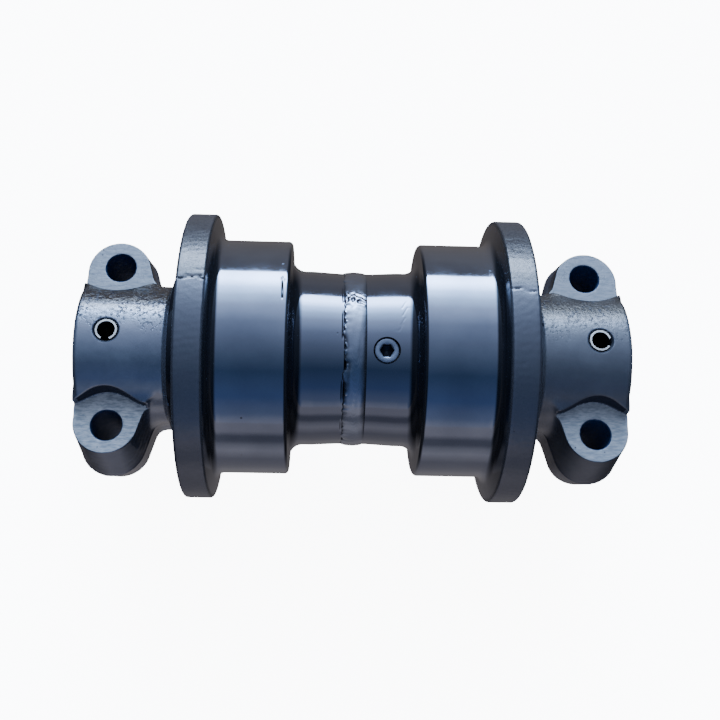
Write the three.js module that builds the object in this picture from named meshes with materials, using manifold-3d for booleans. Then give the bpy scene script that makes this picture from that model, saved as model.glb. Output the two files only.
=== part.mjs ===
// Track roller of a crawler excavator: a two-flange roller shell that turns on a fixed shaft.
//
// Frame: millimetres. +X runs along the shaft, and +Z is the side where the bolt heads sit. The two
// collars rest on their mounting faces, which look down (-Z). The origin is the middle of the shaft.
// The shell is two forged halves joined by a weld at the middle. Each half holds a flanged bush. A pair
// of face-seal rings with rubber toric rings closes each end against a collar, and a spring pin locks
// the collar to the shaft.
import * as THREE from "three";
import { mergeVertices } from "three/addons/utils/BufferGeometryUtils.js";
import Module from "manifold-3d";

const wasm = await Module();
wasm.setup();

// ---- Driving dimensions ----
const GAP = 0.3; // kept between pieces that touch on the real roller

const SHELL = {
  flangeR: 95,
  treadR: 78.2,
  hubR: 58.6, // where the hub meets the tread
  hubRAtWeld: 57.6,
  hubEnd: 35,
  treadIn: 41.5,
  treadOut: 85.5,
  flangeIn: 91,
  flangeOut: 109,
  bossR: 58, // the seal boss tapers from here
  bossEndR: 54,
  bossOut: 118,
  edge: 2, // bevel of the tread and flange edges
};
const FILLET = { hub: 6, tread: 4 };
const BORE = {
  cavityR: 42, // oil space at the middle
  cavityEnd: 28,
  bushR: 37,
  bushFlangeR: 43.5,
  bushFlangeIn: 90.2,
  sealIn: 96,
  sealR: 46,
  labyrinthIn: 105.5,
  labyrinthR: 52.5,
};
const WELD = { rootR: 44, halfRoot: 0.2, halfTop: 7.1, crownR: 58.9, crownHalf: 2.6 };
const SHAFT = { r: 32.5, end: 176, chamfer: 2, ringX: 130, ringGroove: 2, ringFloor: 29.9 };
const CENTRE_DRILL = { r: 5, floorR: 1.6, depth: 6 };
const RUN_R = 32.9; // bore of the bushes and collars over the shaft
const BUSH = { start: 30, flangeIn: 90.5, end: 94.5, r: 36.7, flangeR: 43 };

const SEAL_FACE = 107; // plane where the two seal rings of one end rub
const SEAL = { boreR: 37.5, tailR: 40, flangeR: 44.5, flange: 3.5, length: 9, taper: 0.6 };
const TORIC = { r: 43, section: 2.6, fromFace: 6.6 };
const ORING = { r: 31.3, section: 1.1 };

const COLLAR = {
  snoutEnd: 95.1,
  snoutR: 36.5,
  seatBottom: 117,
  noseEnd: 108.6,
  noseR: 50.5,
  noseShoulder: 118.5, // the nose slopes down to the barrel from here
  barrelIn: 121,
  barrelOut: 178,
  barrelRIn: 46,
  barrelR: 47,
  barrelEdge: 2,
  boreChamfer: 1.5,
};
const BOLTS = { x: 157.5, y: 55, r: 10, chamfer: 0.7 };
// A lug's round end sits a little outboard of its bolt, and its inboard flank flares towards the barrel.
const LUG = { top: 19, parting: -15, mountZ: -46, spotR: 22, outset: 1.4, flare: 18, rootY: 38, steps: 10 };
// Radius of the round end and tip along Y of a lug at each of its three levels.
const LUG_LEVELS = [
  { z: LUG.mountZ, half: 19, tip: 74 },
  { z: LUG.parting, half: 20.8, tip: 81 },
  { z: LUG.top, half: 20.2, tip: 73.4 },
];
// The pad under the barrel, with sloped shoulders above and cut corners below.
const PAD = { halfY: 40, top: -6, shoulderY: 34, shoulderTop: 6, cornerY: 34.6, cornerZ: -37 };

const PIN = { x: 157.5, r: 7, boreR: 5.3, holeR: 7.3, halfLength: 45.6, slotHalf: 25, sides: 20 };
const PIN_SEAT = { r: 8.3, z: 44.6 };
const PIN_SLOTS = { right: -10, left: -92 }; // direction of each pin's slot, in degrees from +X
const PLUG = { x: 19.7, tilt: 13.6, r: 8.2, holeR: 8.5, top: 57, bottom: 45, bevel: 1.2 };
const PLUG_SOCKET = { flats: 8, depth: 7 };

const SIDES = { shell: 48, running: 36, collar: 32, seal: 28, oring: 24, hole: 20, ringSection: 6 };

// ---- Geometry helpers ----
function arc(x, r, radius, from, to, steps) {
  const points = [];
  for (let i = 0; i <= steps; i++) {
    const a = THREE.MathUtils.degToRad(from + ((to - from) * i) / steps);
    points.push([x + radius * Math.cos(a), r + radius * Math.sin(a)]);
  }
  return points;
}

function signedArea(points) {
  return points.reduce((sum, [x, y], i) => {
    const [nx, ny] = points[(i + 1) % points.length];
    return sum + (x * ny - nx * y) / 2;
  }, 0);
}

// A solid of revolution about X from a loop of [x, radius] points.
// With open true the profile starts and ends on the axis.
function turned(profile, sides, open = false) {
  const loop = signedArea(profile) < 0 ? profile.slice().reverse() : profile.slice();
  if (open) while (loop[0][1] !== 0 || loop[loop.length - 1][1] !== 0) loop.push(loop.shift());
  else loop.push(loop[0]);
  const outline = loop.map(([x, r]) => new THREE.Vector2(r, -x));
  return new THREE.LatheGeometry(outline, sides).rotateZ(Math.PI / 2);
}

function cylinder(radius, from, to, sides = SIDES.hole) {
  const height = to - from;
  return new THREE.CylinderGeometry(radius, radius, height, sides)
    .rotateX(Math.PI / 2)
    .translate(0, 0, from + height / 2);
}

// A closed solid through convex outlines stacked along Z, lowest first, each turning anticlockwise.
function lofted(levels) {
  const n = levels[0].outline.length;
  const vertices = [];
  const faces = [];
  levels.forEach(({ z, outline }) => outline.forEach(([x, y]) => vertices.push(x, y, z)));
  for (let k = 0; k + 1 < levels.length; k++)
    for (let i = 0; i < n; i++) {
      const a = k * n + i;
      const b = k * n + ((i + 1) % n);
      faces.push(a, b, b + n, a, b + n, a + n);
    }
  const top = (levels.length - 1) * n;
  for (let i = 1; i + 1 < n; i++) faces.push(0, i + 1, i, top, top + i, top + i + 1);
  const geometry = new THREE.BufferGeometry();
  geometry.setAttribute("position", new THREE.Float32BufferAttribute(vertices, 3));
  geometry.setIndex(faces);
  return geometry;
}

function toSolid(geometry) {
  const bare = (geometry.index ? geometry.toNonIndexed() : geometry).clone();
  Object.keys(bare.attributes)
    .filter((name) => name !== "position")
    .forEach((name) => bare.deleteAttribute(name));
  const merged = mergeVertices(bare, 1e-4);
  return new wasm.Manifold(
    new wasm.Mesh({
      numProp: 3,
      vertProperties: merged.attributes.position.array,
      triVerts: new Uint32Array(merged.index.array),
    }),
  );
}

function toGeometry(solid) {
  const mesh = solid.getMesh();
  const geometry = new THREE.BufferGeometry();
  geometry.setAttribute("position", new THREE.BufferAttribute(mesh.vertProperties, 3));
  geometry.setIndex(new THREE.BufferAttribute(mesh.triVerts, 1));
  return geometry;
}

function carve(body, ...cutters) {
  return toGeometry(cutters.reduce((left, cutter) => left.subtract(toSolid(cutter)), toSolid(body)));
}

// The left-hand copy of a right-hand geometry: the same piece turned half a turn about Z.
function turnedRound(geometry) {
  return geometry.clone().rotateZ(Math.PI);
}

// ---- Roller shell ----
function shellHalf() {
  const s = SHELL;
  const b = BORE;
  return turned(
    [
      [WELD.halfRoot, WELD.rootR],
      [WELD.halfTop, s.hubRAtWeld],
      ...arc(s.hubEnd, s.hubR + FILLET.hub, FILLET.hub, -90, 0, 2),
      [s.treadIn, s.treadR - s.edge],
      [s.treadIn + s.edge, s.treadR],
      ...arc(s.treadOut, s.treadR + FILLET.tread, FILLET.tread, -90, 0, 2),
      [s.flangeIn, s.flangeR - s.edge],
      [s.flangeIn + s.edge, s.flangeR],
      [s.flangeOut - s.edge, s.flangeR],
      [s.flangeOut, s.flangeR - s.edge],
      [s.flangeOut, s.bossR],
      [s.bossOut, s.bossEndR],
      [s.bossOut, b.labyrinthR],
      [b.labyrinthIn, b.labyrinthR],
      [b.labyrinthIn, b.sealR],
      [b.sealIn, b.sealR],
      [b.sealIn, b.bushFlangeR],
      [b.bushFlangeIn, b.bushFlangeR],
      [b.bushFlangeIn, b.bushR],
      [b.cavityEnd, b.bushR],
      [b.cavityEnd, b.cavityR],
      [WELD.halfRoot, b.cavityR],
    ],
    SIDES.shell,
  );
}

function weldBead() {
  const { rootR, halfRoot, halfTop, crownR, crownHalf } = WELD;
  const shoulderX = (halfTop + crownHalf) / 2;
  const right = [
    [halfRoot, rootR + 2 * GAP],
    [halfTop - 1.5 * GAP, SHELL.hubRAtWeld],
    [shoulderX, crownR - GAP],
    [crownHalf, crownR],
  ];
  const left = right.map(([x, r]) => [-x, r]).reverse();
  return turned([...right, ...left], SIDES.shell);
}

const plugHole = () => cylinder(PLUG.holeR, BORE.bushR, SHELL.flangeR);

function oilPlug() {
  const profile = [
    [PLUG.bottom, 0],
    [PLUG.bottom, PLUG.r - PLUG.bevel / 2],
    [PLUG.top - PLUG.bevel, PLUG.r],
    [PLUG.top, PLUG.r - PLUG.bevel],
    [PLUG.top, 0],
  ];
  const body = turned(profile, SIDES.hole, true).rotateY(-Math.PI / 2);
  const socketR = PLUG_SOCKET.flats / Math.sqrt(3);
  return carve(body, cylinder(socketR, PLUG.top - PLUG_SOCKET.depth, SHELL.flangeR, 6));
}

function bush() {
  const profile = [
    [BUSH.start, RUN_R],
    [BUSH.start, BUSH.r],
    [BUSH.flangeIn, BUSH.r],
    [BUSH.flangeIn, BUSH.flangeR],
    [BUSH.end, BUSH.flangeR],
    [BUSH.end, RUN_R],
  ];
  return turned(profile, SIDES.running);
}

// ---- Face seals ----
// One L-shaped ring, on the side of the sealing face that way gives (+1 outward, -1 inward).
function sealRing(way) {
  const at = (d) => SEAL_FACE + way * (d + GAP / 2);
  const profile = [
    [at(0), SEAL.boreR],
    [at(0), SEAL.flangeR],
    [at(SEAL.flange), SEAL.flangeR],
    [at(SEAL.flange + SEAL.taper), SEAL.tailR],
    [at(SEAL.length), SEAL.tailR - SEAL.taper],
    [at(SEAL.length), SEAL.boreR],
  ];
  return turned(profile, SIDES.seal);
}

// A rubber ring of round section, its section's centre at x and r.
function rubberRing(x, { r, section }, sides) {
  const steps = SIDES.ringSection;
  return turned(arc(x, r, section, 0, 360 - 360 / steps, steps - 1), sides);
}

// ---- Shaft and its O-rings ----
function shaft() {
  const { r, end, chamfer, ringX, ringGroove, ringFloor } = SHAFT;
  const right = [
    [ringX - ringGroove, r],
    [ringX - ringGroove, ringFloor],
    [ringX + ringGroove, ringFloor],
    [ringX + ringGroove, r],
    [end - chamfer, r],
    [end, r - chamfer],
    [end, CENTRE_DRILL.r],
    [end - CENTRE_DRILL.depth, CENTRE_DRILL.floorR],
    [end - CENTRE_DRILL.depth, 0],
  ];
  const left = right.map(([x, radius]) => [-x, radius]).reverse();
  const hole = cylinder(PIN.holeR, -PIN.halfLength, PIN.halfLength);
  return carve(
    turned([...right, ...left], SIDES.running, true),
    hole.clone().translate(PIN.x, 0, 0),
    hole.clone().translate(-PIN.x, 0, 0),
  );
}

// ---- Collar: seal housing, barrel and the two bolt lugs ----
// Outline in the XY plane of the bar that makes both lugs: two round ends and a flared inboard flank.
function lugOutline(half, tip) {
  const centreX = BOLTS.x + LUG.outset;
  const centreY = tip - half;
  const flare = THREE.MathUtils.degToRad(LUG.flare);
  const rootHalf = (half + (centreY - LUG.rootY) * Math.sin(flare)) / Math.cos(flare);
  return [
    ...arc(centreX, centreY, half, 0, 180 - LUG.flare, LUG.steps),
    [centreX - rootHalf, LUG.rootY],
    [centreX - rootHalf, -LUG.rootY],
    ...arc(centreX, -centreY, half, 180 + LUG.flare, 360, LUG.steps),
  ];
}

function lugBar() {
  return lofted(LUG_LEVELS.map(({ z, half, tip }) => ({ z, outline: lugOutline(half, tip) })));
}

function mountingPad() {
  const oneSide = [
    [PAD.cornerY, LUG.mountZ],
    [PAD.halfY, PAD.cornerZ],
    [PAD.halfY, PAD.top],
    [PAD.shoulderY, PAD.shoulderTop],
  ];
  const otherSide = oneSide.map(([y, z]) => [-y, z]).reverse();
  const outline = new THREE.Shape([...oneSide, ...otherSide].map(([y, z]) => new THREE.Vector2(y, z)));
  const length = COLLAR.barrelOut - COLLAR.barrelIn;
  return new THREE.ExtrudeGeometry(outline, { depth: length, bevelEnabled: false })
    .rotateX(Math.PI / 2)
    .rotateZ(Math.PI / 2)
    .translate(COLLAR.barrelIn, 0, 0);
}

function collarBarrel() {
  const c = COLLAR;
  return turned(
    [
      [c.snoutEnd, RUN_R],
      [c.snoutEnd, c.snoutR],
      [c.seatBottom, c.snoutR],
      [c.seatBottom, BORE.sealR],
      [c.noseEnd, BORE.sealR],
      [c.noseEnd, c.noseR],
      [c.noseShoulder, c.noseR],
      [c.barrelIn, c.barrelRIn],
      [c.barrelOut - c.barrelEdge, c.barrelR],
      [c.barrelOut, c.barrelR - c.barrelEdge],
      [c.barrelOut, RUN_R + c.boreChamfer],
      [c.barrelOut - c.boreChamfer, RUN_R],
    ],
    SIDES.collar,
  );
}

function boltHole() {
  const { r, chamfer } = BOLTS;
  const wide = r + chamfer;
  const past = SHELL.flangeR;
  const profile = [
    [-past, 0],
    [-past, wide],
    [LUG.mountZ, wide],
    [LUG.mountZ + chamfer, r],
    [LUG.top - chamfer, r],
    [LUG.top, wide],
    [past, wide],
    [past, 0],
  ];
  return turned(profile, SIDES.hole, true).rotateY(-Math.PI / 2);
}

function collar() {
  const far = 2 * SHELL.flangeR;
  const bore = turned(
    [
      [0, 0],
      [0, RUN_R],
      [far, RUN_R],
      [far, 0],
    ],
    SIDES.collar,
    true,
  );
  const blank = toSolid(collarBarrel())
    .add(toSolid(lugBar()))
    .add(toSolid(mountingPad()))
    .subtract(toSolid(bore));
  const below = new THREE.BoxGeometry(far, far, far).translate(BOLTS.x, 0, LUG.mountZ - far / 2);
  const cutters = [
    below,
    cylinder(PIN.holeR, -far, far).translate(PIN.x, 0, 0),
    cylinder(PIN_SEAT.r, PIN_SEAT.z, far).translate(PIN.x, 0, 0),
  ];
  for (const y of [-BOLTS.y, BOLTS.y]) {
    cutters.push(boltHole().translate(BOLTS.x, y, 0));
    cutters.push(cylinder(LUG.spotR, LUG.top, far, SIDES.collar).translate(BOLTS.x, y, 0));
  }
  return carve(toGeometry(blank), ...cutters);
}

// ---- Spring pin: a slotted tube, its slot at the given angle in the XY plane ----
function springPin(slotAngle) {
  const from = THREE.MathUtils.degToRad(slotAngle + PIN.slotHalf);
  const to = THREE.MathUtils.degToRad(slotAngle + 360 - PIN.slotHalf);
  const section = new THREE.Shape();
  section.absarc(0, 0, PIN.r, from, to, false);
  section.absarc(0, 0, PIN.boreR, to, from, true);
  section.closePath();
  const settings = { depth: 2 * PIN.halfLength, bevelEnabled: false, curveSegments: PIN.sides };
  return new THREE.ExtrudeGeometry(section, settings).translate(0, 0, -PIN.halfLength);
}

// ---- Materials ----
const steelPaint = new THREE.MeshStandardMaterial({ color: 0x232c3d, roughness: 0.38, metalness: 0.4 });
const bareSteel = new THREE.MeshStandardMaterial({ color: 0x8b8f94, roughness: 0.3, metalness: 1 });
const springSteel = new THREE.MeshStandardMaterial({ color: 0x55595f, roughness: 0.35, metalness: 1 });
const plugSteel = new THREE.MeshStandardMaterial({ color: 0x39414f, roughness: 0.35, metalness: 0.8 });
const sealIron = new THREE.MeshStandardMaterial({ color: 0x74767a, roughness: 0.25, metalness: 1 });
const bronze = new THREE.MeshStandardMaterial({ color: 0xa9793f, roughness: 0.35, metalness: 1 });
const rubber = new THREE.MeshStandardMaterial({ color: 0x111214, roughness: 0.8, metalness: 0 });

// ---- Assembly ----
const trackRoller = new THREE.Group();

function place(name, geometry, material, parent = trackRoller) {
  const mesh = new THREE.Mesh(geometry, material);
  mesh.name = name;
  parent.add(mesh);
  return mesh;
}

function placePair(name, geometry, material) {
  place(`${name}_right`, geometry, material);
  place(`${name}_left`, turnedRound(geometry), material);
}

const plugGroup = new THREE.Group();
plugGroup.rotation.x = THREE.MathUtils.degToRad(PLUG.tilt);
plugGroup.position.x = PLUG.x;
trackRoller.add(plugGroup);

const half = shellHalf();
const tiltedHole = plugHole().rotateX(plugGroup.rotation.x).translate(PLUG.x, 0, 0);
place("shell_half_right", carve(half, tiltedHole), steelPaint);
place("shell_half_left", turnedRound(half), steelPaint);
place("weld_bead", weldBead(), steelPaint);
place("oil_plug", oilPlug(), plugSteel, plugGroup);
placePair("bush", bush(), bronze);

placePair("roller_seal_ring", sealRing(-1), sealIron);
placePair("collar_seal_ring", sealRing(1), sealIron);
placePair("roller_toric_ring", rubberRing(SEAL_FACE - TORIC.fromFace, TORIC, SIDES.seal), rubber);
placePair("collar_toric_ring", rubberRing(SEAL_FACE + TORIC.fromFace, TORIC, SIDES.seal), rubber);

place("shaft", shaft(), bareSteel);
placePair("shaft_o_ring", rubberRing(SHAFT.ringX, ORING, SIDES.oring), rubber);
placePair("collar", collar(), steelPaint);
place("spring_pin_right", springPin(PIN_SLOTS.right), springSteel).position.x = PIN.x;
place("spring_pin_left", springPin(PIN_SLOTS.left), springSteel).position.x = -PIN.x;

export default trackRoller;
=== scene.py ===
"""The looks of a painted excavator track roller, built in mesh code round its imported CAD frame."""

import math

import bmesh
import bpy
import numpy as np
from mathutils import Matrix, Vector


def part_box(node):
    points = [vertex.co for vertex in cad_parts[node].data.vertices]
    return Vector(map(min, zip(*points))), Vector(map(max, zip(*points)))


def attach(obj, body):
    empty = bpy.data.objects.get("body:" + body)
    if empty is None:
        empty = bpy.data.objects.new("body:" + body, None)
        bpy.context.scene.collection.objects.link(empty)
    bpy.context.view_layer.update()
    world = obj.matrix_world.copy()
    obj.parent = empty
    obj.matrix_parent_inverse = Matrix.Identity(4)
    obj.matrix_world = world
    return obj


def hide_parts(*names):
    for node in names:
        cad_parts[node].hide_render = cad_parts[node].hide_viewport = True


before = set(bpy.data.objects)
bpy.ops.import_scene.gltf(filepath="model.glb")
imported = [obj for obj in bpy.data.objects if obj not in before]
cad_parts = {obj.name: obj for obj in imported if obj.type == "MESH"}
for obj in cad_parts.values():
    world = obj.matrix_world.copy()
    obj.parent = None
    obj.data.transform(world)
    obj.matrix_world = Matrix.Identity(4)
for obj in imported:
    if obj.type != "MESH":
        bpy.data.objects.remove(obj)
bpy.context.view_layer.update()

MM = 0.001


def corners(node):
    """The lowest and highest corners of a CAD node, in millimetres."""
    low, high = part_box(node)
    return np.array(low) / MM, np.array(high) / MM


# ---- Driving dimensions, in millimetres ----
shell_high = corners("shell_half_right")[1]
collar_low, collar_high = corners("collar_right")
shaft_high = corners("shaft")[1]
pin_high = corners("spring_pin_right")[1]
plug_low, plug_high = corners("oil_plug")
weld_high = corners("weld_bead")[1]

FLANGE_R = shell_high[2]
BOSS_OUT = shell_high[0]
MOUNT_Z = collar_low[2]
LUG_TIP = collar_high[1]
COLLAR_IN = collar_low[0]
SHAFT_R = shaft_high[2]
SHAFT_END = shaft_high[0]
PIN_END = pin_high[2]
PLUG_X = (plug_low[0] + plug_high[0]) / 2

TREAD_R = 78.2
HUB_R = 58.6
HUB_R_AT_WELD = 57.5
BOSS_R = 58
BOSS_END_R = 54
BORE_R = 32.9
BOLT_X = 157.5
BOLT_Y = 55
BOLT_HOLE_R = 10
SPOT_Z = 19
SPOT_R = 22
LUG_OUTSET = 0.8
LUG_FLARE = math.radians(16)
LUG_ROOT_Y = 38
NOSE_R = 50.5
NOSE_SHOULDER = 118.5
BARREL_START = 121
PIN_HOLE_R = 7.3
PIN_SEAT_Z = 44.8
BARREL_END = 178
PLUG_TILT = 13.6
PLUG_TOP = 57
WELD_R = 58
O_RING_GROOVE_R = 29.9
SEAL_SEAT_R = 46
SEAL_SEAT_END = 117
SNOUT_R = 36.5
INSIDE_BARREL = 122
RUN_OUT_Y = 42
RUN_OUT_HALF = 24.8

SHELL_SEGMENTS = 640


# ---- Mesh helpers ----
def waves(points, wavelength, seed, count=22):
    """A smooth random field of about unit size, the sum of plane waves of one length."""
    rng = np.random.default_rng(seed)
    heading = rng.normal(size=(count, 3))
    heading *= (2 * math.pi / wavelength) / np.linalg.norm(heading, axis=1, keepdims=True)
    phase = rng.uniform(0, 2 * math.pi, count)
    total = np.zeros(len(points))
    for k in range(count):
        total += np.cos(points @ heading[k] + phase[k])
    return total * math.sqrt(2 / count)


def skin(rings, wrap=False):
    """Quads between rings of equally many points. Without wrap the two end rings are capped."""
    rings = np.asarray(rings, float)
    m, n, _ = rings.shape
    i = np.arange(m if wrap else m - 1)[:, None]
    j = np.arange(n)[None, :]
    after = (i + 1) % m
    beside = (j + 1) % n
    quads = np.stack([i * n + j, i * n + beside, after * n + beside, after * n + j], -1)
    faces = quads.reshape(-1, 4).tolist()
    if not wrap:
        faces += [list(range(n)), list(range((m - 1) * n, m * n))]
    return rings.reshape(-1, 3), faces


def rounded(outline, steps=6):
    """Points along a closed outline of [x, r, radius] corners, each with a round of its radius."""
    points = []
    flat = np.array([corner[:2] for corner in outline], float)
    for k, (_, _, radius) in enumerate(outline):
        here = flat[k]
        if not radius:
            points.append(here)
            continue
        back = flat[k - 1] - here
        ahead = flat[(k + 1) % len(flat)] - here
        back /= np.linalg.norm(back)
        ahead /= np.linalg.norm(ahead)
        half = math.acos(np.clip(back @ ahead, -1, 1)) / 2
        start = here + back * radius / math.tan(half)
        end = here + ahead * radius / math.tan(half)
        middle = (back + ahead) / np.linalg.norm(back + ahead)
        centre = here + middle * radius / math.sin(half)
        for s in range(steps + 1):
            spoke = (start - centre) * (1 - s / steps) + (end - centre) * s / steps
            points.append(centre + spoke * radius / np.linalg.norm(spoke))
    return np.array(points)


def dense(points, step, over):
    """The closed outline, with no stretch longer than step where its radius is over a limit."""
    finer = []
    for k, here in enumerate(points):
        ahead = points[(k + 1) % len(points)]
        outside = max(here[1], ahead[1]) > over
        parts = max(1, math.ceil(np.linalg.norm(ahead - here) / step)) if outside else 1
        finer += [here + (ahead - here) * s / parts for s in range(parts)]
    return np.array(finer)


def revolve(profile, segments):
    """A closed [x, r] outline turned about X: one ring of the outline for each segment."""
    turn = np.arange(segments) * 2 * math.pi / segments
    x, r = profile[:, 0], profile[:, 1]
    return np.stack(
        [
            np.broadcast_to(x, (segments, len(x))),
            np.sin(turn)[:, None] * r,
            np.cos(turn)[:, None] * r,
        ],
        -1,
    )


def circle(radius, z, segments=64):
    """Points on a circle about Z, at one height."""
    turn = np.arange(segments) * 2 * math.pi / segments
    return np.stack([radius * np.cos(turn), radius * np.sin(turn), np.full(segments, z)], 1)


def half_turn(points):
    """The left-hand copy of a right-hand piece."""
    return points * np.array([-1, -1, 1])


def piece(name, points, faces, material, sharp=32):
    """A mesh object from points in millimetres, faced outwards, with its hard edges kept crisp."""
    mesh = bpy.data.meshes.new(name)
    mesh.from_pydata((np.asarray(points) * MM).tolist(), [], faces)
    work = bmesh.new()
    work.from_mesh(mesh)
    bmesh.ops.recalc_face_normals(work, faces=work.faces)
    work.to_mesh(mesh)
    work.free()
    mesh.shade_smooth()
    mesh.set_sharp_from_angle(angle=math.radians(sharp))
    mesh.materials.append(material)
    made = bpy.data.objects.new(name, mesh)
    bpy.context.scene.collection.objects.link(made)
    return made


def cut(target, *cutters):
    """Takes the cutters out of the target for good."""
    for cutter in cutters:
        modifier = target.modifiers.new("cut", "BOOLEAN")
        modifier.operation = "DIFFERENCE"
        modifier.solver = "EXACT"
        modifier.object = cutter
    bpy.context.view_layer.update()
    evaluated = target.evaluated_get(bpy.context.evaluated_depsgraph_get())
    mesh = bpy.data.meshes.new_from_object(evaluated)
    target.modifiers.clear()
    target.data = mesh
    for cutter in cutters:
        bpy.data.objects.remove(cutter)
    mesh.shade_smooth()
    mesh.set_sharp_from_angle(angle=math.radians(32))


def stand_for(made, node, body):
    """Puts a finished piece in the place of its CAD node, on its body."""
    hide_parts(node)
    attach(made, body)


# ---- Signed distances, for the cast collars ----
def soft_min(a, b, k):
    """The smaller of two distances, blended over a width of k where they are alike."""
    h = np.clip(0.5 + 0.5 * (b - a) / k, 0, 1)
    return b + (a - b) * h - k * h * (1 - h)


def soft_max(a, b, k):
    """The larger of two distances, blended in the same way."""
    return -soft_min(-a, -b, k)


def bar(radial, along, radius, start, end, edge):
    """A round bar with rounded end edges, from its radial and its lengthwise coordinate."""
    out = radial - (radius - edge)
    past = np.abs(along - (start + end) / 2) - ((end - start) / 2 - edge)
    inside = np.minimum(np.maximum(out, past), 0)
    return inside + np.hypot(np.maximum(out, 0), np.maximum(past, 0)) - edge


def surface_net(distance, low, high, cell):
    """Points and quads on the zero surface of a signed distance, found cell by cell."""
    axes = [np.arange(low[k], high[k] + cell, cell) for k in range(3)]
    grid = np.stack(np.meshgrid(*axes, indexing="ij"), -1)
    field = distance(grid.reshape(-1, 3)).reshape(grid.shape[:3])
    shape = np.array(field.shape)
    total = np.zeros((int(np.prod(shape)), 3))
    count = np.zeros(int(np.prod(shape)))
    quads = []
    for axis in range(3):
        n = shape[axis]
        first = np.take(field, np.arange(n - 1), axis)
        second = np.take(field, np.arange(1, n), axis)
        crossing = (first < 0) != (second < 0)
        index = np.argwhere(crossing)
        ratio = first[crossing] / (first[crossing] - second[crossing])
        point = index.astype(float)
        point[:, axis] += ratio
        u, v = (axis + 1) % 3, (axis + 2) % 3
        around = []
        for du, dv in ((0, 0), (1, 0), (1, 1), (0, 1)):
            near = index.copy()
            near[:, u] -= du
            near[:, v] -= dv
            flat = np.ravel_multi_index(tuple(near.T), tuple(shape))
            for k in range(3):
                total[:, k] += np.bincount(flat, point[:, k], len(count))
            count += np.bincount(flat, minlength=len(count))
            around.append(flat)
        quad = np.stack(around, 1)
        outward = first[crossing] < 0
        quads.append(np.where(outward[:, None], quad, quad[:, ::-1]))
    used = np.flatnonzero(count)
    renumber = np.full(len(count), -1)
    renumber[used] = np.arange(len(used))
    points = total[used] / count[used, None] * cell + np.array(low)
    return settle(points, distance, cell), renumber[np.concatenate(quads)].tolist()


def slope_of(distance, points):
    """The gradient of a signed distance at each point, and the distance there."""
    probe = 0.02
    here = distance(points)
    slope = [(distance(points + probe * unit) - here) / probe for unit in np.eye(3)]
    return np.stack(slope, 1), here


def settle(points, distance, cell, rounds=3):
    """Moves the points of a surface net onto the zero surface itself."""
    limit = 0.35 * cell
    for _ in range(rounds):
        slope, here = slope_of(distance, points)
        step = here / np.maximum((slope**2).sum(1), 0.05)
        points = points - slope * np.clip(step, -limit, limit)[:, None]
    return points


# ---- Materials ----
def new_material(name):
    material = bpy.data.materials.new(name)
    material.use_nodes = True
    tree = material.node_tree
    return material, tree, tree.nodes["Principled BSDF"]


def node(tree, kind, inputs=(), **settings):
    made = tree.nodes.new(kind)
    for key, value in settings.items():
        setattr(made, key, value)
    for key, value in dict(inputs).items():
        if isinstance(value, bpy.types.NodeSocket):
            tree.links.new(value, made.inputs[key])
        else:
            made.inputs[key].default_value = value
    return made


def noise(tree, where, scale, detail=3.0, roughness=0.5):
    inputs = {"Vector": where, "Scale": scale, "Detail": detail, "Roughness": roughness}
    return node(tree, "ShaderNodeTexNoise", inputs).outputs[0]


def remap(tree, value, low, high, to_low, to_high):
    inputs = {"Value": value, "From Min": low, "From Max": high}
    inputs |= {"To Min": to_low, "To Max": to_high}
    return node(tree, "ShaderNodeMapRange", inputs).outputs["Result"]


def arithmetic(tree, operation, first, second):
    return node(tree, "ShaderNodeMath", {0: first, 1: second}, operation=operation).outputs[0]


def blend(tree, factor, first, second):
    inputs = {"Factor": factor, "A": first, "B": second}
    made = tree.nodes.new("ShaderNodeMix")
    made.data_type = "RGBA"
    for socket in made.inputs:
        if socket.enabled and socket.name in inputs:
            value = inputs[socket.name]
            if isinstance(value, bpy.types.NodeSocket):
                tree.links.new(value, socket)
            else:
                socket.default_value = value
    return next(s for s in made.outputs if s.enabled)


def bump(tree, height, distance, strength=1.0, under=None):
    inputs = {"Height": height, "Distance": distance, "Strength": strength}
    if under is not None:
        inputs["Normal"] = under
    return node(tree, "ShaderNodeBump", inputs).outputs["Normal"]


def place(tree):
    return tree.nodes.new("ShaderNodeTexCoord").outputs["Object"]


def split(tree, vector):
    """The X, Y and Z sockets of a vector."""
    return node(tree, "ShaderNodeSeparateXYZ", {"Vector": vector}).outputs


def length_of(tree, first, second):
    """The hypotenuse of two numbers."""
    squares = [arithmetic(tree, "MULTIPLY", side, side) for side in (first, second)]
    return arithmetic(tree, "SQRT", arithmetic(tree, "ADD", *squares), 0.0)


def beyond(tree, value, limit, soft=0.0004):
    """1 where the value is over the limit, 0 where it is under, with a short ramp between."""
    return remap(tree, value, limit - soft, limit + soft, 0, 1)


NAVY = (0.10, 0.125, 0.19, 1)
DEEP = (0.07, 0.09, 0.145, 1)
# painted shade for the hub between the treads
HUB_SHADE_BLUE = (0.055, 0.07, 0.115, 1)
GREY_BLUE = (0.28, 0.32, 0.4, 1)
DULL_BLUE = (0.13, 0.16, 0.22, 1)
# dark pits and chips, also used as painted shade in the pin seats and the plug's socket
PIT_AND_SHADE_BLACK = (0.007, 0.012, 0.028, 1)
HOLE_SHADE_BLUE = (0.014, 0.042, 0.13, 1)
RIM_BLUE = (0.054, 0.065, 0.1, 1)
WALL_SHADE = (0.02, 0.026, 0.05, 1)
RIM_SCALE = (0.03, 0.031, 0.034, 1)
# sandy crust colour, dark enough to act as painted shade under the ears
CRUST_AND_SHADE_GREY = (0.02, 0.019, 0.021, 1)
WELD_BLUE = (0.125, 0.155, 0.23, 1)
PLUG_BLUE = (0.14, 0.18, 0.28, 1)
RUBBER_BLACK = (0.012, 0.012, 0.013, 1)
RUBBER_BLOOM = (0.04, 0.04, 0.043, 1)


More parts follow.
